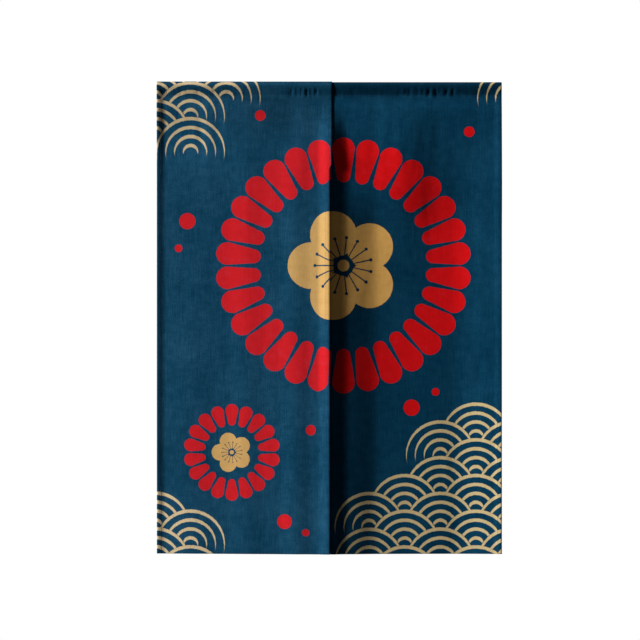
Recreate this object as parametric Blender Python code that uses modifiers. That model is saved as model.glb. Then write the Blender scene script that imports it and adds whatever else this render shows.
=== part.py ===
"""A split doorway curtain of dyed cloth: two long panels, side by side, that share one rod pocket.

It hangs with its front towards -Y, and the origin is the middle of its top edge. Each panel is one sheet, bent
from a flat grid: its columns run across the curtain, and its rows follow the cloth from the hem up the front,
over the rod and down behind to the end of the heading. All sizes are in metres.
"""

from collections import namedtuple

import bpy
import numpy as np

WIDTH = 0.850
DROP = 1.165
CLOTH = 0.0012
CLEARANCE = 0.00035

LAP = 0.010  # how far left of the middle the right panel's inner edge lies, behind the left panel
SEAM_REACH = 0.0065  # how far right of it the left panel's inner edge is sewn down
SLIT_REACH = 0.001  # and how far right it hangs where it is free
SLIT_TOP = 0.205
SLIT_STEP = 0.015  # the edge crosses from one place to the other within this drop
PULL = 0.048  # the width of cloth that shifts with it

POCKET_RADIUS = 0.012  # of the outer face, over the rod
POCKET_DROP = 0.036  # from the top edge to the seam that closes the pocket
TAIL = 0.006  # turned cloth below that seam
EASING = 0.036  # the width beside the lap in which the heading opens to take in the other panel

SEAM_SET = 0.0025  # how far back the pocket's seam is drawn
SEAM_EASE = 0.075  # the drop at which the cloth hangs straight again

CREST = 0.014  # how far the join stands in front of the rod's pocket
CREST_ROUND = 0.020  # half the width over which its crest is rounded
SLOPE = 0.066  # of the left panel, towards the join
LEDGE, LEDGE_END = 0.003, 0.031  # the right panel steps back beside the join
SHOULDER, SHOULDER_START, SHOULDER_END = 0.0074, 0.025, 0.125  # then falls away from it
FALL, FALL_START, FALL_END = 0.007, 0.060, 0.360  # and goes on back towards its outer edge
GROWS, GROWN = 0.036, 0.200  # the drops between which this shape grows
SHOULDER_GROWS, SHOULDER_GROWN = 0.240, 0.380  # and those between which the shoulder does

FLARE = 0.0008  # how far the left panel's free edge comes forward at the hem
SETBACK = 0.002  # how far the right panel's free edge goes back
SETBACK_DROP = 0.040  # within this drop of the slit's top
FREE_EDGE = 0.045  # the width of cloth that these bend

COLUMN_STEP = 0.020
ROW_STEP = 0.050
SHORT_STEP = 0.024  # between the heading and the top of the slit
TURN_STEPS = 8
BACK_STEPS = 5

# The soft folds of the hanging cloth. Each is a ridge, or a trough where forward is negative, that runs down
# the curtain. It is centred at a place across it, and grows from nothing to its full depth between two drops.
Fold = namedtuple("Fold", "across half_width forward starts full")
FOLDS = (
    Fold(-0.345, 0.070, 0.0010, 0.30, 0.90),
    Fold(-0.205, 0.048, 0.0009, 0.04, 0.35),
    Fold(-0.087, 0.042, 0.0012, 0.04, 0.30),
    Fold(-0.081, 0.042, 0.0005, 0.65, 0.95),
    Fold(0.0085, 0.038, 0.0045, 0.04, 0.15),
    Fold(0.190, 0.085, 0.0030, 0.04, 0.12),
    Fold(0.190, 0.085, -0.0031, 0.20, 0.50),
    Fold(0.066, 0.052, 0.0010, 0.55, 0.95),
    Fold(0.259, 0.070, 0.0008, 0.45, 1.00),
    Fold(0.470, 0.170, 0.0075, 0.10, 0.35),
)


def rise(value, start, end):
    """0 up to start, 1 from end on, and a smooth step between them."""
    part = np.clip((value - start) / (end - start), 0, 1)
    return part * part * (3 - 2 * part)


def bell(distance, half_width):
    """1 at no distance, falling smoothly to 0 at half_width."""
    part = np.clip(np.abs(distance) / half_width, 0, 1)
    return (1 - part * part) ** 2


def seam_set(drop):
    """How far back the cloth is drawn by the seam that closes the pocket."""
    return SEAM_SET * rise(drop, POCKET_RADIUS, POCKET_DROP) * (1 - rise(drop, POCKET_DROP + TAIL, SEAM_EASE))


def forward_of_rod(across, drop):
    """How far the cloth stands in front of the pocket's front face.

    The left panel slopes forward to the join, and the right panel falls back from it. The folds lie on that.
    """
    slope = CREST - SLOPE * (np.hypot(np.minimum(across, 0), CREST_ROUND) - CREST_ROUND)
    fall = FALL * rise(across, FALL_START, FALL_END)
    ledge = LEDGE * rise(across, SEAM_REACH, LEDGE_END)
    shoulder = SHOULDER * rise(across, SHOULDER_START, SHOULDER_END)
    depth = (slope - fall - ledge) * rise(drop, GROWS, GROWN)
    depth = depth - shoulder * rise(drop, SHOULDER_GROWS, SHOULDER_GROWN)
    for fold in FOLDS:
        grown = rise(drop, fold.starts, fold.full)
        depth = depth + fold.forward * bell(across - fold.across, fold.half_width) * grown
    return depth


def front_rows():
    """The drops of the rows on the front, from the hem up to where the cloth begins to turn over the rod."""
    stretches = (
        (DROP, ROW_STEP),
        (SLIT_TOP + SLIT_STEP, SLIT_STEP),
        (SLIT_TOP, SHORT_STEP),
        (POCKET_DROP + TAIL, TAIL),
        (POCKET_DROP, SHORT_STEP / 3),
        (POCKET_RADIUS, 0),
    )
    rows = [DROP]
    for (low, step), (high, _) in zip(stretches, stretches[1:]):
        steps = max(1, round((low - high) / step))
        rows.extend(np.linspace(low, high, steps + 1)[1:])
    return np.array(rows)[:, None]


def heading_rows(closing):
    """(y, z) of the rows over the rod and down the back to the heading's end.

    closing has a value for each column: how far the heading's end stands behind the pocket's front face.
    """
    turn = np.linspace(np.pi, 0, TURN_STEPS + 1)[1:, None] + 0 * closing
    over_y, over_z = POCKET_RADIUS * np.cos(turn), POCKET_RADIUS * (np.sin(turn) - 1)
    fall = np.linspace(0, 1, BACK_STEPS + 1)[1:, None] + 0 * closing
    back_y = POCKET_RADIUS - (2 * POCKET_RADIUS - closing) * rise(fall, 0, 1)
    back_z = -POCKET_RADIUS - (POCKET_DROP - POCKET_RADIUS) * fall
    y = np.concatenate((over_y, back_y, back_y[-1:]))
    z = np.concatenate((over_z, back_z, back_z[-1:] - TAIL))
    return y + seam_set(-z), z


def hung(x, drop, layers_held, edge_bend):
    """(y, z) of a panel's outer face: a row for each row of cloth from the hem on, and a column for each x.

    layers_held is how many layers of the other panel the heading has room for, and edge_bend is more depth in
    front.
    """
    front_y = seam_set(drop) - POCKET_RADIUS - forward_of_rod(x, drop) - edge_bend
    closing = 2 * CLOTH + CLEARANCE + layers_held * (CLOTH + CLEARANCE)
    heading_y, heading_z = heading_rows(closing)
    return np.concatenate((front_y, heading_y)), np.concatenate((-drop + 0 * front_y, heading_z))


def moved_inward(y, z, distance):
    """The same rows, moved into the loop that they make, so that one sheet can lie in another."""
    along_y, along_z = np.gradient(y, axis=0), np.gradient(z, axis=0)
    length = np.hypot(along_y, along_z)
    return y + distance * along_z / length, z - distance * along_y / length


def with_heading(x, y):
    """x of the front's rows, and the topmost of them again for each row of the heading."""
    return np.concatenate((x, np.repeat(x[-1:], len(y) - len(x), axis=0)))


def sheet(name, colour, x, y, z):
    """One panel: a grid with a point for each row and column given, thickened behind that face."""
    rows, columns = x.shape
    bpy.ops.mesh.primitive_grid_add(x_subdivisions=columns - 1, y_subdivisions=rows - 1, size=1)
    panel = bpy.context.object
    panel.name = panel.data.name = name
    panel.data.vertices.foreach_set("co", np.stack((x, y, z), axis=-1).ravel())
    panel.data.update()
    panel.data.shade_smooth()

    thickness = panel.modifiers.new("Cloth thickness", "SOLIDIFY")
    thickness.thickness = CLOTH
    thickness.offset = -1

    cloth = bpy.data.materials.new(f"{name} dyed cloth")
    cloth.use_nodes = True
    surface = cloth.node_tree.nodes["Principled BSDF"]
    surface.inputs["Base Color"].default_value = colour
    surface.inputs["Roughness"].default_value = 0.9
    surface.inputs["Metallic"].default_value = 0
    panel.data.materials.append(cloth)
    return panel


def left_panel():
    """The panel on the left. Its inner edge lies in front, and there its heading closes round the other's."""
    drop = front_rows()
    steps = round((WIDTH / 2 - 3 * LAP) / COLUMN_STEP)
    outer = np.linspace(-WIDTH / 2, -3 * LAP, steps + 1)
    across = np.concatenate((outer, [-2 * LAP, -LAP, 0, SEAM_REACH]))[None, :]

    slit = rise(drop, SLIT_TOP, SLIT_TOP + SLIT_STEP)
    x = across + (SLIT_REACH - SEAM_REACH) * slit * rise(across, -PULL, 0)
    flare = FLARE * bell(across, FREE_EDGE) * rise(drop, SLIT_TOP, DROP)
    layers_held = 2 * rise(across, -2 * LAP - EASING, -2 * LAP)
    y, z = hung(x, drop, layers_held, flare)
    return sheet("left_panel", (0.020, 0.090, 0.160, 1), with_heading(x, y), y, z)


def right_panel():
    """The panel on the right, one sheet further in than the left one, with its inner edge behind it."""
    drop = front_rows()
    steps = round((WIDTH / 2 - LEDGE_END) / COLUMN_STEP)
    outer = np.linspace(LEDGE_END, WIDTH / 2, steps + 1)
    ledge = np.linspace(SEAM_REACH, LEDGE_END, 4)
    across = np.concatenate(([-LAP, 0], ledge, outer[1:]))[None, :]

    x = across + 0 * drop
    setback = SETBACK * bell(across, FREE_EDGE) * rise(drop, SLIT_TOP, SLIT_TOP + SETBACK_DROP)
    y, z = hung(x, drop, 2 + 0 * across, -setback)
    y, z = moved_inward(y, z, CLOTH + CLEARANCE)
    return sheet("right_panel", (0.018, 0.085, 0.152, 1), with_heading(x, y), y, z)


for old in list(bpy.data.objects):
    bpy.data.objects.remove(old)

curtain = bpy.data.collections.new("noren_curtain")
bpy.context.scene.collection.children.link(curtain)
for panel in (left_panel(), right_panel()):
    for holder in list(panel.users_collection):
        holder.objects.unlink(panel)
    curtain.objects.link(panel)
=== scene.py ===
"""A split doorway curtain: two panels of slubbed cotton, dyed blue and printed, that share one rod pocket.

Everything is in metres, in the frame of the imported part: the front of the cloth faces -Y, and z is 0 at
the top edge. A drop is a distance down from that edge, and across is a place right of the middle.
"""

from collections import namedtuple

import bpy
import numpy as np
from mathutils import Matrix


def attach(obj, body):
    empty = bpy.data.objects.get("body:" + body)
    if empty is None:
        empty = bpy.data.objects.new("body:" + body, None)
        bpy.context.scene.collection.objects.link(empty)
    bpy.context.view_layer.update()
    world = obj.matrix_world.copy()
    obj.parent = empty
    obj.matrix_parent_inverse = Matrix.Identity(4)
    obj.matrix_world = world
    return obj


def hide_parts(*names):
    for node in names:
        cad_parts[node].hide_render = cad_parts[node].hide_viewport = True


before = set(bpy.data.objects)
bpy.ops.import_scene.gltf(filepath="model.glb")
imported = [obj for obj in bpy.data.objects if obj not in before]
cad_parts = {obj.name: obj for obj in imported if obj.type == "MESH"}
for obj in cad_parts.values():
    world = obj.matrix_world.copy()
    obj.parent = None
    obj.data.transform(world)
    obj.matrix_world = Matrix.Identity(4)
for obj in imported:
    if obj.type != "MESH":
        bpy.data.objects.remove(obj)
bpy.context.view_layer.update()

# Left panel.
# One length of slubbed cotton, half a millimetre thick, dyed through and screen printed in front. Its hems
# are folded behind and stitched, and its heading goes over the rod and down behind to a seam. Its inner edge
# is sewn down over the right panel near the top, and below it hangs free and curls forward.
HALF_WIDTH = 0.425
DROP = 1.165
SLIT_TOP = 0.205
POCKET_RADIUS = 0.012  # of the outer face, over the rod
POCKET_DROP = 0.036  # of the seam that closes the pocket
TAIL = 0.006  # turned cloth below that seam
SEAM_REACH = 0.0065  # how far right of the middle the left panel's sewn edge ends
SEAM_SET = 0.0025  # how far back the pocket's seam is drawn
SEAM_EASE = 0.075  # the drop at which the cloth hangs straight again
CREST = 0.014  # how far the join stands in front of the rod's pocket
CREST_ROUND = 0.020  # half the width over which its crest is rounded
SLOPE = 0.066  # of the left panel, towards the join
LEDGE, LEDGE_END = 0.003, 0.031  # the right panel steps back beside the join
SHOULDER, SHOULDER_START, SHOULDER_END = 0.0074, 0.025, 0.125  # then falls away from it
FALL, FALL_START, FALL_END = 0.007, 0.060, 0.360  # and goes on back towards its outer edge
GROWS, GROWN = 0.036, 0.200  # the drops between which this broad shape grows
SHOULDER_GROWS, SHOULDER_GROWN = 0.240, 0.380  # and those between which the shoulder does

# The soft folds of both panels, which hang as one cloth would. Each is a ridge, or a trough where forward is
# negative. It is centred at a place across, and grows from nothing to its full depth between two drops.
Fold = namedtuple("Fold", "across half_width forward starts full")
FOLDS = (
    Fold(-0.345, 0.070, 0.0010, 0.30, 0.90),
    Fold(-0.205, 0.048, 0.0009, 0.04, 0.35),
    Fold(-0.087, 0.042, 0.0012, 0.04, 0.30),
    Fold(-0.081, 0.042, 0.0005, 0.65, 0.95),
    Fold(0.0085, 0.038, 0.0045, 0.04, 0.15),
    Fold(0.190, 0.085, 0.0030, 0.04, 0.12),
    Fold(0.190, 0.085, -0.0031, 0.20, 0.50),
    Fold(0.066, 0.052, 0.0010, 0.55, 0.95),
    Fold(0.259, 0.070, 0.0008, 0.45, 1.00),
    Fold(0.470, 0.170, 0.0075, 0.10, 0.35),
)


def rise(value, start, end):
    """0 up to start, 1 from end on, and the smooth cubic step 3t^2 - 2t^3 between them."""
    part = np.clip((value - start) / (end - start), 0, 1)
    return part * part * (3 - 2 * part)


def bell(distance, half_width):
    """(1 - t^2)^2, where t is the distance over half_width: 1 at no distance and 0 past half_width."""
    part = np.clip(np.abs(distance) / half_width, 0, 1)
    return (1 - part * part) ** 2


def seam_set(drop):
    """How far back the pocket's seam draws the cloth: a smooth step down to it, and one up again below."""
    drawn, eased = rise(drop, POCKET_RADIUS, POCKET_DROP), rise(drop, POCKET_DROP + TAIL, SEAM_EASE)
    return SEAM_SET * drawn * (1 - eased)


def main_folds(x, drop):
    """A slope up to the join's rounded crest, three smooth steps down behind it, and the sum of the folds."""
    slope = CREST - SLOPE * (np.hypot(np.minimum(x, 0), CREST_ROUND) - CREST_ROUND)
    fall = FALL * rise(x, FALL_START, FALL_END)
    ledge = LEDGE * rise(x, SEAM_REACH, LEDGE_END)
    shoulder = SHOULDER * rise(x, SHOULDER_START, SHOULDER_END) * rise(drop, SHOULDER_GROWS, SHOULDER_GROWN)
    depth = (slope - fall - ledge) * rise(drop, GROWS, GROWN) - shoulder
    for fold in FOLDS:
        grown = rise(drop, fold.starts, fold.full)
        depth = depth + fold.forward * bell(x - fold.across, fold.half_width) * grown
    return depth


# The smallest creases, strewn from a fixed seed: long soft ripples all over, more of them under the heading,
# and short gathers at the heading's seam.
EDGE_CURL, EDGE_CURL_WIDTH = 0.0018, 0.020  # the outer edges curl forward
CURL_CENTRE, CURL_REACH = 0.15, 0.12  # the drop where they curl half as much again, and how far that goes
RIGHT_CURL = 0.6  # of the left edge's curl
RIPPLES = 90
RIPPLE_DEPTH = 0.00016
RIPPLE_WIDTH = 0.015  # the half width of a ripple of that depth
GATHERS = ((-0.096, -0.030, 6), (0.184, 0.306, 9), (-0.400, 0.400, 22))  # from, to, and how many
GATHER_DEPTH = 0.0017
GATHER_RISE = 0.010  # how far above the seam a gather is deepest
FAINT = 0.25  # the depth of the gathers strewn along the whole seam, as a part of the others'
SEAM_DIMPLE, DIMPLE_REACH = 0.0004, 0.004
CREASES_START, CREASES_FULL = 0.012, 0.024


def creases(x, drop):
    """The sum of slanted bells with seeded places, sizes and signs, and of narrow troughs across the seam."""
    chance = np.random.default_rng(21)
    depth = -SEAM_DIMPLE * bell(drop - POCKET_DROP, DIMPLE_REACH)
    curl = EDGE_CURL * (1 + 0.5 * bell(drop - CURL_CENTRE, CURL_REACH)) * np.where(x < 0, 1, RIGHT_CURL)
    depth = depth + curl * bell(HALF_WIDTH - np.abs(x), EDGE_CURL_WIDTH)
    for ripple in range(RIPPLES):
        under_heading = ripple % 3 == 0
        centre_x = chance.uniform(-HALF_WIDTH, HALF_WIDTH)
        centre_drop = chance.uniform(0.05, 0.22) if under_heading else chance.uniform(0.10, DROP)
        slant = chance.normal(0, 0.10)
        half_width, half_length = chance.uniform(0.008, 0.026), chance.uniform(0.05, 0.24)
        size = RIPPLE_DEPTH * chance.normal(0, 1) * half_width / RIPPLE_WIDTH
        off_line = x - centre_x - slant * (drop - centre_drop)
        depth = depth + size * bell(off_line, half_width) * bell(drop - centre_drop, half_length)
    for low, high, count in GATHERS:
        across_panel = high - low > HALF_WIDTH
        for centre_x in np.linspace(low, high, count) + chance.normal(0, 0.0025, count):
            half_width, half_length = chance.uniform(0.0040, 0.0065), chance.uniform(0.012, 0.022)
            size = GATHER_DEPTH * chance.uniform(0.5, 1.0) * (FAINT if across_panel else 1)
            lean = chance.normal(0, 0.12)
            off_line = x - centre_x - lean * (drop - POCKET_DROP)
            along = bell(drop - POCKET_DROP + GATHER_RISE, half_length)
            depth = depth - size * bell(off_line, half_width) * along
    return depth * rise(drop, CREASES_START, CREASES_FULL)


CLOTH = 0.0005
PITCH = 0.00065  # from the middle of one folded layer to the next
SIDE_HEM = 0.012
BOTTOM_HEM = 0.020
GRID = 0.0039  # between points
TURN_STEPS = 18
BACK_STEPS = 11
FOLD_STEPS = 4
SIDE_HEM_STEPS = 4
BOTTOM_HEM_STEPS = 5


def turned_hem(edge, width, inward, steps):
    """Places and turns from a hem's raw edge behind to the fold: a turn falls from 1 behind to 0 in front."""
    behind = edge + inward * np.linspace(width, 0, steps + 1)
    turn = np.linspace(1, 0, FOLD_STEPS + 1)[1:-1]
    places = np.concatenate((behind, edge - inward * PITCH / 2 * np.sin(np.pi * turn)))
    return places, np.concatenate((np.ones(steps + 1), turn))


def panel_columns(low, high):
    """Across a panel: each column's place, its turn, and its place on the flat cloth."""
    left, left_turn = turned_hem(low, SIDE_HEM, 1, SIDE_HEM_STEPS)
    right, right_turn = turned_hem(high, SIDE_HEM, -1, SIDE_HEM_STEPS)
    front = np.linspace(low, high, round((high - low) / GRID) + 1)
    place = np.concatenate((left, front, right[::-1]))
    turn = np.concatenate((left_turn, np.zeros(len(front)), right_turn[::-1]))
    flat = np.concatenate((2 * low - left, front, 2 * high - right[::-1]))
    return place[None, :], turn[None, :], flat


def panel_rows():
    """Down a panel's front: each row's drop and turn, from the hem's raw edge round the fold to the rod."""
    hem, turn = turned_hem(DROP, BOTTOM_HEM, -1, BOTTOM_HEM_STEPS)
    front = np.linspace(DROP, POCKET_RADIUS, round((DROP - POCKET_RADIUS) / GRID) + 1)
    drop = np.concatenate((hem, front))
    return drop[:, None], np.concatenate((turn, np.zeros(len(front))))[:, None]


def heading_rows(closing):
    """(y, z) over the rod on a half circle, down the back on a smooth step to closing, and the tail."""
    turn = np.linspace(np.pi, 0, TURN_STEPS + 1)[1:, None] + 0 * closing
    over_y, over_z = POCKET_RADIUS * np.cos(turn), POCKET_RADIUS * (np.sin(turn) - 1)
    fall = np.linspace(0, 1, BACK_STEPS + 1)[1:, None] + 0 * closing
    back_y = POCKET_RADIUS - (2 * POCKET_RADIUS - closing) * rise(fall, 0, 1)
    back_z = -POCKET_RADIUS - (POCKET_DROP - POCKET_RADIUS) * fall
    y = np.concatenate((over_y, back_y, back_y[-1:], back_y[-1:]))
    z = np.concatenate((over_z, back_z, back_z[-1:] - TAIL / 2, back_z[-1:] - TAIL))
    return y + seam_set(-z), z


def front_face(shape, across, drop):
    """(x, y) of a panel's front face: the sum of its folds, creases and free edge in front of the pocket."""
    x, _, edge_bend = shape(across, drop)
    return x, seam_set(drop) - POCKET_RADIUS - main_folds(x, drop) - creases(x, drop) - edge_bend


SOLID_CLOTH = 0.0012  # the solids' thickness and spacing, which place the panels' layers
SOLID_GAP = 0.00035
NEAR_HEM = 2  # how many columns past a side hem the bottom hem still clears it


def heading_gap(shape, across, drop):
    """How far the heading's end stands behind the pocket's front face, with the layers that it takes in."""
    return 2 * SOLID_CLOTH + SOLID_GAP + shape(across, drop)[1] * (SOLID_CLOTH + SOLID_GAP)


def cloth_grid(shape, across, drop, row_turn, column_turn, depth_in):
    """Points of a panel's middle surface, a row for each row of cloth and a column for each place across it.

    The outer face is the folds' depth in front of the rod, or the heading's loop. Each point is moved in from
    it, along the normal of that line, by half the cloth and by PITCH for each layer in front of it. A hem
    behind adds a layer. Where the bottom hem takes in a side hem, or is near it, it lies three layers back,
    and the side hem in it two.
    """
    x, front_y = front_face(shape, across, drop)
    loop_y, loop_z = heading_rows(heading_gap(shape, across, drop))
    y = np.concatenate((front_y, loop_y))
    z = np.concatenate((-drop + 0 * front_y, loop_z))
    top = len(drop) - 1
    along_y, along_z = np.gradient(y[top:], axis=0), np.gradient(z[top:], axis=0)
    length = np.hypot(along_y, along_z)
    in_y = np.concatenate((np.ones_like(front_y), (along_z / length)[1:]))
    in_z = np.concatenate((np.zeros_like(front_y), (-along_y / length)[1:]))

    side_layer = (1 - np.cos(np.pi * column_turn)) / 2
    hem_layer = (1 - np.cos(np.pi * row_turn)) / 2
    near_side = np.convolve(side_layer[0] > 0, np.ones(2 * NEAR_HEM + 1), "same")[None, :] > 0
    layers = hem_layer * (1 + 2 * near_side) + np.cos(np.pi * row_turn) * side_layer
    layers = np.concatenate((layers, np.repeat(side_layer, len(loop_y), axis=0)))
    distance = depth_in + CLOTH / 2 + PITCH * layers
    x = np.concatenate((x, np.repeat(x[-1:], len(loop_y), axis=0)))
    return np.stack((x, y + distance * in_y, z + distance * in_z), axis=-1)


def flat_places(flat_across, drop, row_turn, points):
    """(across, down) of each point on the flat cloth: down runs on past the hem's fold and over the rod."""
    down = np.where(row_turn > 0, 2 * DROP - drop, drop)[:, 0]
    heading = points[len(drop) - 1 :, points.shape[1] // 2]
    steps = np.linalg.norm(np.diff(heading, axis=0), axis=1)
    down = np.concatenate((down, POCKET_RADIUS - np.cumsum(steps)))
    across = np.broadcast_to(flat_across[None, :], points.shape[:2])
    return np.stack((across, np.broadcast_to(down[:, None], points.shape[:2])), axis=-1)


def mesh_of_grid(name, points, flat):
    """A mesh of quads between the points of (rows, columns, 3), with each one's place on the flat cloth."""
    rows, columns = points.shape[:2]
    number = np.arange(rows * columns).reshape(rows, columns)
    corners = (number[:-1, :-1], number[:-1, 1:], number[1:, 1:], number[1:, :-1])
    quads = np.stack(corners, axis=-1).reshape(-1, 4)
    mesh = bpy.data.meshes.new(name)
    mesh.from_pydata(points.reshape(-1, 3), [], quads)
    layer = mesh.uv_layers.new(name="flat cloth")
    layer.uv.foreach_set("vector", flat.reshape(-1, 2)[quads.ravel()].astype(np.float32).ravel())
    mesh.shade_smooth()
    mesh.update()
    return mesh


def new_piece(name, mesh, *materials):
    """An object for a mesh, with its materials, riding on the part's one body."""
    for material in materials:
        mesh.materials.append(material)
    piece = bpy.data.objects.new(name, mesh)
    bpy.context.scene.collection.objects.link(piece)
    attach(piece, "root")
    return piece


SOFT_EDGE = 0.0007  # how far ink creeps to each side of its edge


class Wire:
    """A shader socket that Python's operators join to others with Math nodes."""

    def __init__(self, tree, socket):
        self.tree, self.socket = tree, socket

    def node(self, kind, settings=(), inputs=(), output=0):
        """A new node of this kind in the same tree. Settings come first, then each input's value or wire."""
        made = self.tree.nodes.new("ShaderNode" + kind)
        for key, value in dict(settings).items():
            setattr(made, key, value)
        for key, value in dict(inputs).items():
            if isinstance(value, Wire):
                self.tree.links.new(value.socket, made.inputs[key])
            else:
                made.inputs[key].default_value = value
        return Wire(self.tree, made.outputs[output])

    def maths(self, operation, *others):
        return self.node("Math", {"operation": operation}, dict(enumerate((self, *others))))

    def reversed_maths(self, operation, first):
        return self.node("Math", {"operation": operation}, {0: first, 1: self})

    def __add__(self, other):
        return self.maths("ADD", other)

    def __sub__(self, other):
        return self.maths("SUBTRACT", other)

    def __rsub__(self, other):
        return self.reversed_maths("SUBTRACT", other)

    def __mul__(self, other):
        return self.maths("MULTIPLY", other)

    def __truediv__(self, other):
        return self.maths("DIVIDE", other)

    __radd__, __rmul__ = __add__, __mul__

    def clamped(self):
        """The value, held between 0 and 1."""
        return self.node("Clamp", {}, {"Value": self})

    def step(self, start, end):
        """0 up to start, 1 from end on, and smooth between. Start may be the higher of the two."""
        limits = {"Value": self, "From Min": start, "From Max": end}
        return self.node("MapRange", {"interpolation_type": "SMOOTHSTEP"}, limits)

    def inked(self):
        """1 where a signed distance is inside its shape, with the ink's soft edge."""
        return self.step(SOFT_EDGE, -SOFT_EDGE)

    def mixed(self, first, second):
        """The first colour where the wire is 0 and the second where it is 1."""
        return self.node("Mix", {"data_type": "RGBA"}, {0: self, 6: first, 7: second}, 2)


def distance(u, v):
    """The length of (u, v)."""
    return (u * u + v * v).maths("SQRT")


def folded_round(u, v, count):
    """(r cos a, r sin a), where a is the angle from the middle of the nearest of count equal sectors."""
    sector = 2 * np.pi / count
    angle = v.maths("ARCTAN2", u) + 2 * np.pi
    local = angle.maths("MODULO", sector) - sector / 2
    radius = distance(u, v)
    return radius * local.maths("COSINE"), radius * local.maths("SINE")


def capsule(x, y, start, end, start_radius, end_radius):
    """Distance to a rod with round ends that runs along x and thickens: from the nearest point of its line,
    less the radius there."""
    along = ((x - start) / (end - start)).clamped()
    radius = along * (end_radius - start_radius) + start_radius
    return distance(x - start - along * (end - start), y) - radius


# The print goes across both panels and the lap: a wreath of red petals round a gold blossom, a smaller one,
# red dots, and patches of gold wave scales. It is worked out from the flat cloth, where u runs across and v
# down from the top edge. A distance to a shape is negative inside it.
PETAL_END = 0.016  # how far inside the wreath's outer edge a petal is widest
NARROW_FILL, WIDE_FILL = 0.80, 0.89  # the part of its sector that a petal fills at each end


def wreath(u, v, inner, outer, petals):
    """Distance to a ring of petals, each a capsule that widens outwards, parted by narrow gaps."""
    start_radius = NARROW_FILL * np.pi * inner / petals
    end_radius = WIDE_FILL * np.pi * (outer - PETAL_END) / petals
    x, y = folded_round(u, v, petals)
    return capsule(x, y, inner + start_radius, outer - end_radius, start_radius, end_radius)


def blossom(u, v, size):
    """Distance to five round petals and a heart, less fifteen stamens with round tips and a ring.

    Each radius and place is a part of the blossom's size.
    """
    x, y = folded_round(u, v, 5)
    petal = distance(x - 0.58 * size, y) - 0.415 * size
    throat = distance(x, y)
    heart = throat - 0.105 * size
    ring = throat.maths("SUBTRACT", 0.155 * size).maths("ABSOLUTE") - 0.028 * size
    x, y = folded_round(u, v, 15)
    stamen = capsule(x, y, 0.18 * size, 0.47 * size, 0.010 * size, 0.012 * size)
    tip = distance(x - 0.50 * size, y) - 0.030 * size
    cut = (-1 * ring).maths("MAXIMUM", -1 * stamen).maths("MAXIMUM", -1 * tip)
    return petal.maths("MINIMUM", heart).maths("MAXIMUM", cut)


Patch = namedtuple("Patch", "u v half_width half_height")
PATCHES = (
    Patch(0.425, 1.160, 0.300, 0.300),
    Patch(0.170, 1.190, 0.170, 0.140),
    Patch(-0.425, -0.020, 0.210, 0.230),
    Patch(-0.425, 1.180, 0.150, 0.130),
    Patch(0.450, 0.044, 0.050, 0.030),
)
SCALE_RADIUS = 0.088
SCALE_RINGS = 4
SCALE_LINE = 0.0042  # half a line's width where it is fullest
SCALE_SHIFT = 0.010  # so that no scale is cut by the slit
RING_POINT = -0.30  # the height at which a ring ends in a point, as a part of its radius
RING_FULL = 0.05  # and the height from which it is inked in full


def wave_scales(u, v):
    """Inked lines of overlapping round scales, in rows half a radius apart, each shifted by one radius.

    A point belongs to the lowest of three rows whose circle it is in. Four rings of equal step follow the
    circle. They thin to the sides and end in fine points a little below the centre. A scale shows only where
    its own centre is in one of the patches.
    """
    spacing = SCALE_RADIUS / SCALE_RINGS
    row = (v / (-SCALE_RADIUS / 2)).maths("FLOOR")
    inked, taken = None, None
    for back in (1, 0, -1):
        centre_row = row - back
        shift = centre_row.maths("MODULO", 2) * SCALE_RADIUS
        centre_u = ((u - shift) / (2 * SCALE_RADIUS)).maths("ROUND") * (2 * SCALE_RADIUS) + shift
        centre_v = centre_row * (-SCALE_RADIUS / 2)
        away = distance(u - centre_u, v - centre_v)
        inside = away.step(SCALE_RADIUS + SOFT_EDGE, SCALE_RADIUS - SOFT_EDGE)
        shown = None
        for patch in PATCHES:
            off_u, off_v = (centre_u - patch.u) / patch.half_width, (centre_v - patch.v) / patch.half_height
            here = distance(off_u, off_v).maths("LESS_THAN", 1)
            shown = here if shown is None else shown.maths("MAXIMUM", here)
        inside = inside * shown
        upright = (centre_v - v) / away.maths("MAXIMUM", 0.001)
        half_line = SCALE_LINE * ((upright - RING_POINT) / (1 - RING_POINT))
        off_line = ((away + SCALE_LINE) / spacing).maths("FRACT").maths("SUBTRACT", 0.5).maths("ABSOLUTE")
        off_line = (0.5 - off_line) * spacing - half_line
        lines = off_line.inked() * inside * upright.step(RING_POINT, RING_FULL)
        inked = lines if inked is None else inked + lines * (1 - taken)
        taken = inside if taken is None else taken.maths("MAXIMUM", inside)
    return inked


Crest = namedtuple("Crest", "u v inner outer petals blossom")
CRESTS = (
    Crest(0.035, 0.455, 0.205, 0.315, 30, 0.138),
    Crest(-0.240, 0.915, 0.066, 0.119, 18, 0.050),
)
Dot = namedtuple("Dot", "u v radius")
DOTS = (
    Dot(-0.350, 0.345, 0.0200),
    Dot(-0.372, 0.412, 0.0095),
    Dot(0.345, 0.125, 0.0130),
    Dot(0.203, 0.805, 0.0200),
    Dot(0.262, 0.766, 0.0095),
    Dot(-0.045, 0.860, 0.0130),
    Dot(-0.110, 1.085, 0.0180),
    Dot(-0.058, 1.112, 0.0090),
    Dot(-0.170, 0.085, 0.0130),
)


def print_inks(u, v):
    """Where the red ink, the gold ink and the pale gold ink are."""
    red, gold = None, None
    for crest in CRESTS:
        across, down = u - crest.u, v - crest.v
        petals = wreath(across, down, crest.inner, crest.outer, crest.petals)
        flower = blossom(across, down, crest.blossom)
        red = petals if red is None else red.maths("MINIMUM", petals)
        gold = flower if gold is None else gold.maths("MINIMUM", flower)
    for dot in DOTS:
        red = red.maths("MINIMUM", distance(u - dot.u, v - dot.v) - dot.radius)
    return red.inked(), gold.inked(), wave_scales(u - SCALE_SHIFT, v)


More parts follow.
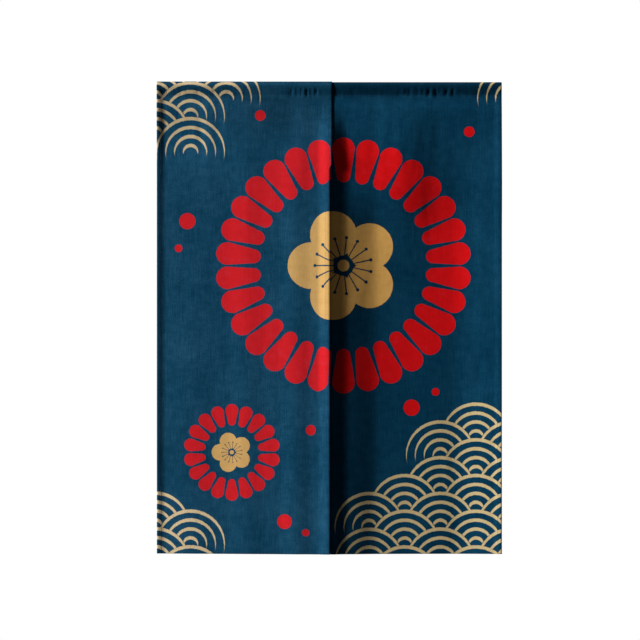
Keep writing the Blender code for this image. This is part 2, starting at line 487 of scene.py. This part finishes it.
# A panel's colours. Heading and hem are painted shade where the cloth lies double, on the pocket's band and
# the side hems, as a part of the rest's colour.
Colours = namedtuple("Colours", "dye faded red gold pale_gold heading hem")
LEFT_COLOURS = Colours(
    dye=(0.0042, 0.0440, 0.0890),
    faded=(0.0360, 0.0760, 0.1120),
    red=(0.4900, 0.0120, 0.0170),
    gold=(0.5100, 0.3050, 0.1050),
    pale_gold=(0.5450, 0.4200, 0.2450),
    # painted shade on the pocket's band and on the side hems
    heading=1.0,
    hem=0.64,
)
YARN_PITCH = 0.0011
INK_WANDER = 0.0016  # how far the yarns carry the ink from its shape
UPPER_LEFT_PAINTED_LIGHT = 0.30  # painted light: how much lighter the cloth is painted at the upper left
JOIN_TOP_PAINTED_SHADE, OVER_ROD_PAINTED_SHADE = 0.24, 0.32  # painted shade: how much darker the cloth is painted near the join's top, and over the rod
BACK_INK = 0.42  # how strongly the ink shows through behind


def dyed_cloth(name, colours, ink_strength):
    """The cloth's material, all of it laid out on the flat cloth.

    Slubs are noise stretched along the yarns of each direction, and mottling, wear and lint are noise in
    coarser and finer lumps. They shade the dye and, less, the ink. The weave is two crossed waves, each
    raised where it passes over. Painted light makes the cloth lighter at the upper left, and painted shade
    makes it darker near the join's top, over the rod, on the pocket's band and on the side hems; these zones
    have soft edges.
    """
    material = bpy.data.materials.new(name)
    material.use_nodes = True
    tree = material.node_tree
    surface = tree.nodes["Principled BSDF"]
    flat = Wire(tree, None).node("UVMap", {"uv_map": "flat cloth"})
    u = flat.node("SeparateXYZ", {}, {0: flat})
    v = flat.node("SeparateXYZ", {}, {0: flat}, 1)

    def noise(scale_u, scale_v, detail, seed):
        """Noise from 0 to 1 about 0.5, with that many lumps a metre each way."""
        place = flat.node("CombineXYZ", {}, {0: u * scale_u + seed, 1: v * scale_v - seed})
        inputs = {"Vector": place, "Scale": 1, "Detail": detail}
        return flat.node("TexNoise", {"noise_dimensions": "2D"}, inputs)

    def scaled(colour, factor):
        return flat.node("VectorMath", {"operation": "SCALE"}, {0: colour, "Scale": factor})

    wobble_u = (noise(160, 160, 1, 3) - 0.5) * INK_WANDER
    wobble_v = (noise(160, 160, 1, 9) - 0.5) * INK_WANDER
    red, gold, pale = print_inks(u + wobble_u, v + wobble_v)
    ink = red + gold + pale

    warp = noise(430, 20, 2, 1)
    weft = noise(24, 400, 2, 5)
    mottle = noise(9, 7, 3, 12)
    worn = noise(45, 60, 4, 17)
    lint = noise(330, 300, 2, 23)
    shade = 1 + (warp - 0.5) * 0.62 + (weft - 0.5) * 0.18 + (mottle - 0.5) * 0.50 + (worn - 0.5) * 0.44
    shade = shade + (lint - 0.5) * 0.36
    ink_shade = 1 + (warp - 0.5) * 0.18 + (weft - 0.5) * 0.08 + (worn - 0.5) * 0.24
    faded = 0.07 + (worn - 0.5) * 0.22 + (lint - 0.5) * 0.34 + (mottle - 0.5) * 0.22 + (warp - 0.5) * 0.12

    seam = v + (noise(70, 6, 2, 31) - 0.5) * 0.014
    # Painted shade: the pocket's band and the side hems, where the cloth lies double, are painted darker, and
    # the ink on them a little.
    in_heading = seam.step(POCKET_DROP + 0.007, POCKET_DROP - 0.009) * v.step(-0.012, 0.002)
    in_hem = u.maths("ABSOLUTE").step(HALF_WIDTH - SIDE_HEM - 0.001, HALF_WIDTH - SIDE_HEM + 0.001)
    double_cloth_painted_shade = 1 - (in_heading * (1 - colours.heading)).maths("MAXIMUM", in_hem * (1 - colours.hem))
    below_heading = v.step(POCKET_DROP, POCKET_DROP + 0.010)
    # Painted light: the cloth is painted lighter at the upper left, below the pocket.
    upper_left_painted_light = u.step(-0.20, -0.29) * below_heading * v.step(0.260, 0.120)
    # Painted shade: the cloth is painted darker left of the join's top, and over the rod's roll.
    join_top_painted_shade = (u + 0.130).maths("ABSOLUTE").step(0.065, 0.015) * below_heading * v.step(0.200, 0.090)
    over_rod_painted_shade = v.step(0.008, -0.002)
    shade = shade * (1 + UPPER_LEFT_PAINTED_LIGHT * upper_left_painted_light) * (1 - JOIN_TOP_PAINTED_SHADE * join_top_painted_shade) * (1 - OVER_ROD_PAINTED_SHADE * over_rod_painted_shade) * double_cloth_painted_shade
    ink_shade = ink_shade * (double_cloth_painted_shade * 0.5 + 0.5)

    covered = ink_strength * (1 - (worn - 0.62).maths("MAXIMUM", 0) * 0.9)
    ground = faded.clamped().mixed(scaled(colours.dye, shade), scaled(colours.faded, shade))
    colour = (red * covered).mixed(ground, scaled(colours.red, ink_shade))
    colour = (gold * covered).mixed(colour, scaled(colours.gold, ink_shade))
    colour = (pale * covered).mixed(colour, scaled(colours.pale_gold, ink_shade))
    tree.links.new(colour.socket, surface.inputs["Base Color"])

    yarns = 2 * np.pi / YARN_PITCH
    over = (u * yarns).maths("SINE") * (v * (yarns / 2)).maths("SINE").maths("SIGN")
    under = (v * yarns).maths("SINE") * (u * (yarns / 2)).maths("SINE").maths("SIGN")
    weave = over.maths("MAXIMUM", under)
    height = (weave * 0.30 + warp * 1.2 + weft * 0.5) * (1 - 0.25 * ink)
    bump = flat.node("Bump", {}, {"Strength": 0.35, "Distance": 0.00025, "Height": height})
    tree.links.new(bump.socket, surface.inputs["Normal"])
    rough = 0.86 + (warp - 0.5) * 0.10 - 0.12 * ink * ink_strength
    tree.links.new(rough.socket, surface.inputs["Roughness"])
    surface.inputs["Specular IOR Level"].default_value = 0.0
    surface.inputs["Sheen Weight"].default_value = 0.02
    surface.inputs["Sheen Roughness"].default_value = 0.45
    surface.inputs["Sheen Tint"].default_value = (0.75, 0.88, 1.0, 1)
    return material


def cloth_panel(name, node, points, flat, colours):
    """A panel from its grid: a sheet with its real thickness, printed in front."""
    printed = dyed_cloth(f"{name} printed face", colours, 1.0)
    back = dyed_cloth(f"{name} back", colours, BACK_INK)
    piece = new_piece(name, mesh_of_grid(name, points, flat), printed, back)
    body = piece.modifiers.new("Cloth", "SOLIDIFY")
    body.thickness = CLOTH
    body.offset = 0
    body.material_offset = 1
    body.material_offset_rim = 1
    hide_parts(node)
    return piece


LAP = 0.010  # how far left of the middle the right panel's inner edge lies, behind the left panel
SLIT_REACH = 0.001  # how far right the left panel's inner edge hangs where it is free
SLIT_STEP = 0.015  # the edge crosses from one place to the other within this drop
PULL = 0.048  # the width of cloth that shifts with it
EASING = 0.036  # the width beside the lap in which the heading opens to take in the other panel
FLARE = 0.0008  # how far the left panel's free edge comes forward at the hem
FREE_EDGE = 0.045  # the width of cloth that bends with a free edge


def left_shape(across, drop):
    """(x, how many layers the heading takes in, how far the free edge comes forward) for a place across."""
    slit = rise(drop, SLIT_TOP, SLIT_TOP + SLIT_STEP)
    x = across + (SLIT_REACH - SEAM_REACH) * slit * rise(across, -PULL, 0)
    held = 2 * rise(across, -2 * LAP - EASING, -2 * LAP)
    return x, held, FLARE * bell(across, FREE_EDGE) * rise(drop, SLIT_TOP, DROP)


drop, row_turn = panel_rows()
across, column_turn, flat_across = panel_columns(-HALF_WIDTH, SEAM_REACH)
points = cloth_grid(left_shape, across, drop, row_turn, column_turn, 0)
flat_cloth = flat_places(flat_across, drop, row_turn, points)
left_cloth = cloth_panel("left_cloth", "left_panel", points, flat_cloth, LEFT_COLOURS)

# Right panel.
# A second length of the same cotton, hemmed and headed alike. Its colours are the left one's with painted
# shade and painted light: its ground is painted darker and less faded, and its inks brighter and deeper, for
# the shade that falls on it.
# It lies one layer further in, so that its inner edge is behind the left one's, and falls back from the join.
# painted shade on the ground, and painted light on the inks
RIGHT_PAINTED_SHADE_COLOURS = Colours(
    dye=(0.0021, 0.0375, 0.0800),
    faded=(0.0170, 0.0600, 0.0920),
    red=(0.6300, 0.0060, 0.0080),
    gold=(0.7000, 0.3850, 0.1050),
    pale_gold=(0.5600, 0.4300, 0.2200),
    # painted shade, darker on this panel's pocket band
    heading=0.54,
    hem=0.88,
)
RIGHT_DEPTH = SOLID_CLOTH + SOLID_GAP
SETBACK = 0.002  # how far the right panel's free edge goes back
SETBACK_DROP = 0.040  # within this drop of the slit's top


def right_shape(across, drop):
    """(x, how many layers the heading takes in, how far the free edge comes forward) for a place across."""
    setback = SETBACK * bell(across, FREE_EDGE) * rise(drop, SLIT_TOP, SLIT_TOP + SETBACK_DROP)
    return across + 0 * drop, 2 + 0 * across, -setback


across, column_turn, flat_across = panel_columns(-LAP, HALF_WIDTH)
points = cloth_grid(right_shape, across, drop, row_turn, column_turn, RIGHT_DEPTH)
flat_cloth = flat_places(flat_across, drop, row_turn, points)
right_cloth = cloth_panel("right_cloth", "right_panel", points, flat_cloth, RIGHT_PAINTED_SHADE_COLOURS)

# Sewing thread.
# Polyester thread in the cloth's blue, sewn by machine in lockstitch: the seam that closes the pocket, the
# hems, and the seam that holds the lap.
STITCH = 0.0021
STITCH_PITCH = 0.0034
THREAD_RADIUS = 0.00015
FROM_EDGE = 0.0018  # from a hem's raw edge or a panel's side to the seam beside it
LAP_SEAM_SET = 0.0035  # from the left panel's inner edge to the seam of the lap
CLEAR_OF_HEADING = 0.003  # how far below the heading a side seam starts
CLEAR_OF_FOLD = 0.003  # and how far above the bottom edge it ends
CLEAR_OF_LAP = 0.001  # how far beside the lap the right panel's heading seam starts
HEM_BACK = CLOTH + PITCH


def stitch_row(shape, start, end, depth, side):
    """(both ends, which way is out) of the stitches in a straight row between two (across, drop) places.

    They lie at this depth behind the panel's front face. The side is -1 for the front of the cloth and 1 for
    its back.
    """
    start, end = np.array(start), np.array(end)
    reach = np.hypot(*(end - start))
    count = round(reach / STITCH_PITCH)
    ends = []
    for shift in (-0.5, 0.5):
        part = (np.arange(count) + 0.5 + shift * STITCH / STITCH_PITCH) / count
        across, drop = start[:, None] + (end - start)[:, None] * part
        x, y = front_face(shape, across, drop)
        ends.append(np.stack((x, y + depth, -drop), axis=-1))
    return ends[0], ends[1], side


def heading_depth(shape, across):
    """How far the heading's back stands behind its front at the pocket's seam."""
    return float(heading_gap(shape, np.array(across), np.array(POCKET_DROP)))


def sewn(name, material, rows):
    """All the stitches of a panel in one mesh: each is a thread with two rings of points and pointed ends.

    A ring's five points are centre + radius * (cos a * out + sin a * aside), and the ends dip into the cloth.
    """
    angle = np.arange(5) * 2 * np.pi / 5
    points = []
    for first, last, side in rows:
        out = np.array((0.0, side, 0.0))
        along = last - first
        aside = np.cross(along, out)
        aside /= np.linalg.norm(aside, axis=1, keepdims=True)
        ring = THREAD_RADIUS * (np.cos(angle)[:, None] * out + np.sin(angle)[:, None] * aside[:, None])
        low, high = (first + part * along + 0.5 * THREAD_RADIUS * out for part in (0.22, 0.78))
        start, end = (tip - 1.2 * THREAD_RADIUS * out for tip in (first, last))
        stitch = (start[:, None], low[:, None] + ring, high[:, None] + ring, end[:, None])
        points.append(np.concatenate(stitch, axis=1))
    points = np.concatenate(points)
    one, two = np.arange(1, 6), np.roll(np.arange(1, 6), -1)
    caps = [(0, b, a) for a, b in zip(one, two)] + [(11, a + 5, b + 5) for a, b in zip(one, two)]
    sides = [(a, b, b + 5, a + 5) for a, b in zip(one, two)]
    step = (np.arange(len(points)) * points.shape[1])[:, None, None]
    faces = (np.array(caps) + step).reshape(-1, 3).tolist() + (np.array(sides) + step).reshape(-1, 4).tolist()
    mesh = bpy.data.meshes.new(name)
    mesh.from_pydata(points.reshape(-1, 3), [], faces)
    mesh.shade_smooth()
    return new_piece(name, mesh, material)


def sewing_thread():
    """Blue thread, a little glossier than the cloth, with its twist as slanted bands and a lint of noise."""
    material = bpy.data.materials.new("blue sewing thread")
    material.use_nodes = True
    tree = material.node_tree
    surface = tree.nodes["Principled BSDF"]
    place = Wire(tree, None).node("TexCoord", {}, {}, "Object")
    lint = place.node("TexNoise", {}, {"Vector": place, "Scale": 900, "Detail": 2})
    bands = {"Vector": place, "Scale": 900, "Distortion": 1.0}
    twist = place.node("TexWave", {"bands_direction": "DIAGONAL"}, bands, "Fac")
    shade = (lint * 0.6 + twist * 0.5).clamped()
    colour = shade.mixed((0.003, 0.030, 0.062, 1), (0.006, 0.062, 0.118, 1))
    tree.links.new(colour.socket, surface.inputs["Base Color"])
    bump = place.node("Bump", {}, {"Strength": 0.5, "Distance": 0.0001, "Height": twist})
    tree.links.new(bump.socket, surface.inputs["Normal"])
    surface.inputs["Roughness"].default_value = 0.6
    return material


thread = sewing_thread()
hem_drop = DROP - BOTTOM_HEM + FROM_EDGE
hem_end = HALF_WIDTH - FROM_EDGE
side_start, side_end = POCKET_DROP + TAIL + CLEAR_OF_HEADING, DROP - CLEAR_OF_FOLD
free_start = SLIT_TOP + SLIT_STEP
lap_seam = SEAM_REACH - LAP_SEAM_SET

left_edge, left_inner = -HALF_WIDTH + SIDE_HEM - FROM_EDGE, SEAM_REACH - SIDE_HEM + FROM_EDGE
eased = -2 * LAP - EASING
rows = []
for depth, side in ((0, -1), (HEM_BACK, 1)):
    heading = depth and heading_depth(left_shape, left_edge)
    in_lap = depth and heading_depth(left_shape, 0)
    rows += [
        stitch_row(left_shape, (-HALF_WIDTH, POCKET_DROP), (eased, POCKET_DROP), heading, side),
        stitch_row(left_shape, (-2 * LAP, POCKET_DROP), (SEAM_REACH, POCKET_DROP), in_lap, side),
        stitch_row(left_shape, (-hem_end, hem_drop), (SEAM_REACH - FROM_EDGE, hem_drop), depth, side),
        stitch_row(left_shape, (left_edge, side_start), (left_edge, side_end), depth, side),
        stitch_row(left_shape, (left_inner, free_start), (left_inner, side_end), depth, side),
    ]
rows.append(stitch_row(left_shape, (eased, POCKET_DROP), (-2 * LAP, POCKET_DROP), 0, -1))
rows.append(stitch_row(left_shape, (lap_seam, side_start), (lap_seam, SLIT_TOP), 0, -1))
left_thread = sewn("left_panel_thread", thread, rows)

right_edge, right_inner = HALF_WIDTH - SIDE_HEM + FROM_EDGE, -LAP + SIDE_HEM - FROM_EDGE
past_lap = SEAM_REACH + CLEAR_OF_LAP
rows = []
for depth, side in ((RIGHT_DEPTH, -1), (RIGHT_DEPTH + HEM_BACK, 1)):
    heading = heading_depth(right_shape, right_edge) - RIGHT_DEPTH if side > 0 else depth
    rows += [
        stitch_row(right_shape, (past_lap, POCKET_DROP), (HALF_WIDTH, POCKET_DROP), heading, side),
        stitch_row(right_shape, (FROM_EDGE - LAP, hem_drop), (hem_end, hem_drop), depth, side),
        stitch_row(right_shape, (right_edge, side_start), (right_edge, side_end), depth, side),
        stitch_row(right_shape, (right_inner, free_start), (right_inner, side_end), depth, side),
    ]
rows.append(stitch_row(right_shape, (lap_seam, side_start), (lap_seam, SLIT_TOP), RIGHT_DEPTH + CLOTH, 1))
right_thread = sewn("right_panel_thread", thread, rows)

# The studio.
# A pale floor at the height of a doorway's threshold, a white surround, and a key light that grazes the cloth
# from the left, as the photograph's does.
FLOOR_DROP = 2.0
bpy.ops.mesh.primitive_plane_add(size=6, location=(0, 0, -FLOOR_DROP))
floor = bpy.context.object
floor.name = "floor"
paint = bpy.data.materials.new("pale floor")
paint.use_nodes = True
paint_surface = paint.node_tree.nodes["Principled BSDF"]
paint_surface.inputs["Base Color"].default_value = (0.50, 0.50, 0.49, 1)
paint_surface.inputs["Roughness"].default_value = 0.7
floor.data.materials.append(paint)
floor.visible_diffuse = False  # so that it throws no light back into the folds' shadows

AMBIENT = 0.055
world = bpy.data.worlds.new("white surround")
bpy.context.scene.world = world
world.use_nodes = True
background = world.node_tree.nodes["Background"]
surround = Wire(world.node_tree, None)
seen = surround.node("LightPath", output="Is Camera Ray")
sky = seen.mixed((AMBIENT, AMBIENT, AMBIENT, 1), (1, 1, 1, 1))
world.node_tree.links.new(sky.socket, background.inputs["Color"])


def distant_lamp(name, towards, strength, softness):
    """Light from a far lamp that lies in the direction given, as soft as a source of that many degrees."""
    lamp = bpy.data.lights.new(name, "SUN")
    lamp.energy = strength
    lamp.angle = np.radians(softness)
    holder = bpy.data.objects.new(name, lamp)
    bpy.context.scene.collection.objects.link(holder)
    x, y, z = towards
    holder.rotation_euler = (np.arccos(z / np.linalg.norm(towards)), 0, np.arctan2(x, -y))


distant_lamp("key from the left", (-0.952, -0.168, 0.250), 13.4, 9)
distant_lamp("fill from behind", (0.35, 0.85, 0.40), 2.4, 20)

# The camera.
# Face on from six metres with a long lens. The photograph's curtain is 345 px wide and 473 px high in its
# 640 px frame, with its middle at (329, 317).
FRAME_PX = 640
CURTAIN_WIDTH_PX = 344.9
MIDDLE_PX = (329.2, 317.4)
CAMERA_AWAY = 6.0
SENSOR = 36
metres_per_px = 2 * HALF_WIDTH / CURTAIN_WIDTH_PX
lens = bpy.data.cameras.new("camera")
lens.sensor_width = SENSOR
lens.lens = SENSOR * CAMERA_AWAY / (FRAME_PX * metres_per_px)
camera = bpy.data.objects.new("camera", lens)
camera.location = (
    (FRAME_PX / 2 - MIDDLE_PX[0]) * metres_per_px,
    -POCKET_RADIUS - CAMERA_AWAY,
    -DROP / 2 - (FRAME_PX / 2 - MIDDLE_PX[1]) * metres_per_px,
)
camera.rotation_euler = (np.pi / 2, 0, 0)
bpy.context.scene.collection.objects.link(camera)
bpy.context.scene.camera = camera
bpy.context.scene.view_settings.view_transform = "Standard"
